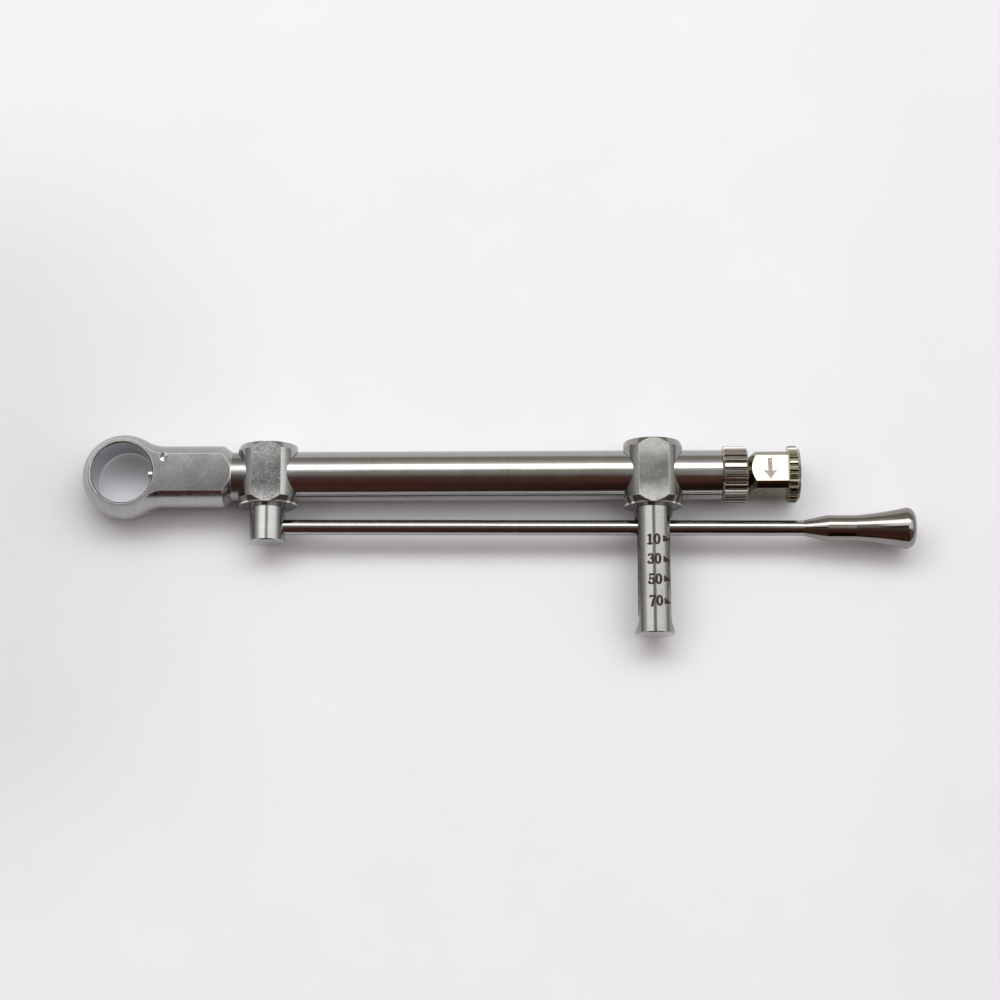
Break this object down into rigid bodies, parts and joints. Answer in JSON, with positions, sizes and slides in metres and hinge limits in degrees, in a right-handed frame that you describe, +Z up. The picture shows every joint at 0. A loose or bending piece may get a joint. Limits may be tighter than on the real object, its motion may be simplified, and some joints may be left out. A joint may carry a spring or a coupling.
{
  "type": "implant torque wrench",
  "caption": "Slim ratchet wrench for driving dental implant screws: ring head, tubular handle, pull-and-turn knob, and a flexing beam that reads torque on a scale arm.",
  "frame": {"origin": "centre of the drive bore, half way through the head", "axes": "+X along the handle towards the knob, +Z up out of the marked side, which lies uppermost, -Y towards the beam and the scale arm"},
  "size_m": [0.0998, 0.0245, 0.0068],
  "materials": {
    "satin_steel": "satin, fine scratches",
    "polished_steel": "bright polished",
    "spring_steel": "drawn wire"
  },
  "bodies": {
    "handle": {"ratchet_head": "satin_steel", "key_pin": "satin_steel", "handle_tube": "polished_steel", "front_collar": "satin_steel", "rear_collar": "satin_steel", "knurled_nut": "polished_steel", "pawl_spring": "spring_steel"},
    "bolt_slide": {"thrust_washer": "polished_steel"},
    "bolt": {"pawl_rod": "polished_steel", "direction_knob": "polished_steel", "knob_pin": "polished_steel"},
    "beam": {"torque_beam": "polished_steel", "beam_grip": "polished_steel"}
  },
  "joints": [
    {"name": "bolt_pull", "type": "slide", "parent": "handle", "child": "bolt_slide", "axis": [1, 0, 0], "range_m": [0, 0.003], "stiffness_N_per_m": 600, "springref_m": -0.003, "deforming": ["pawl_spring"]},
    {"name": "bolt_turn", "type": "hinge", "parent": "bolt_slide", "child": "bolt", "pos_m": [0.0747, 0, 0], "axis": [1, 0, 0], "range_deg": [0, 180]},
    {"name": "beam_flex", "type": "hinge", "parent": "handle", "child": "beam", "pos_m": [0.03, -0.00627, 0], "axis": [0, 0, -1], "range_deg": [0, 15.5], "stiffness_Nm_per_rad": 1.4, "deforming": ["torque_beam"]}
  ]
}
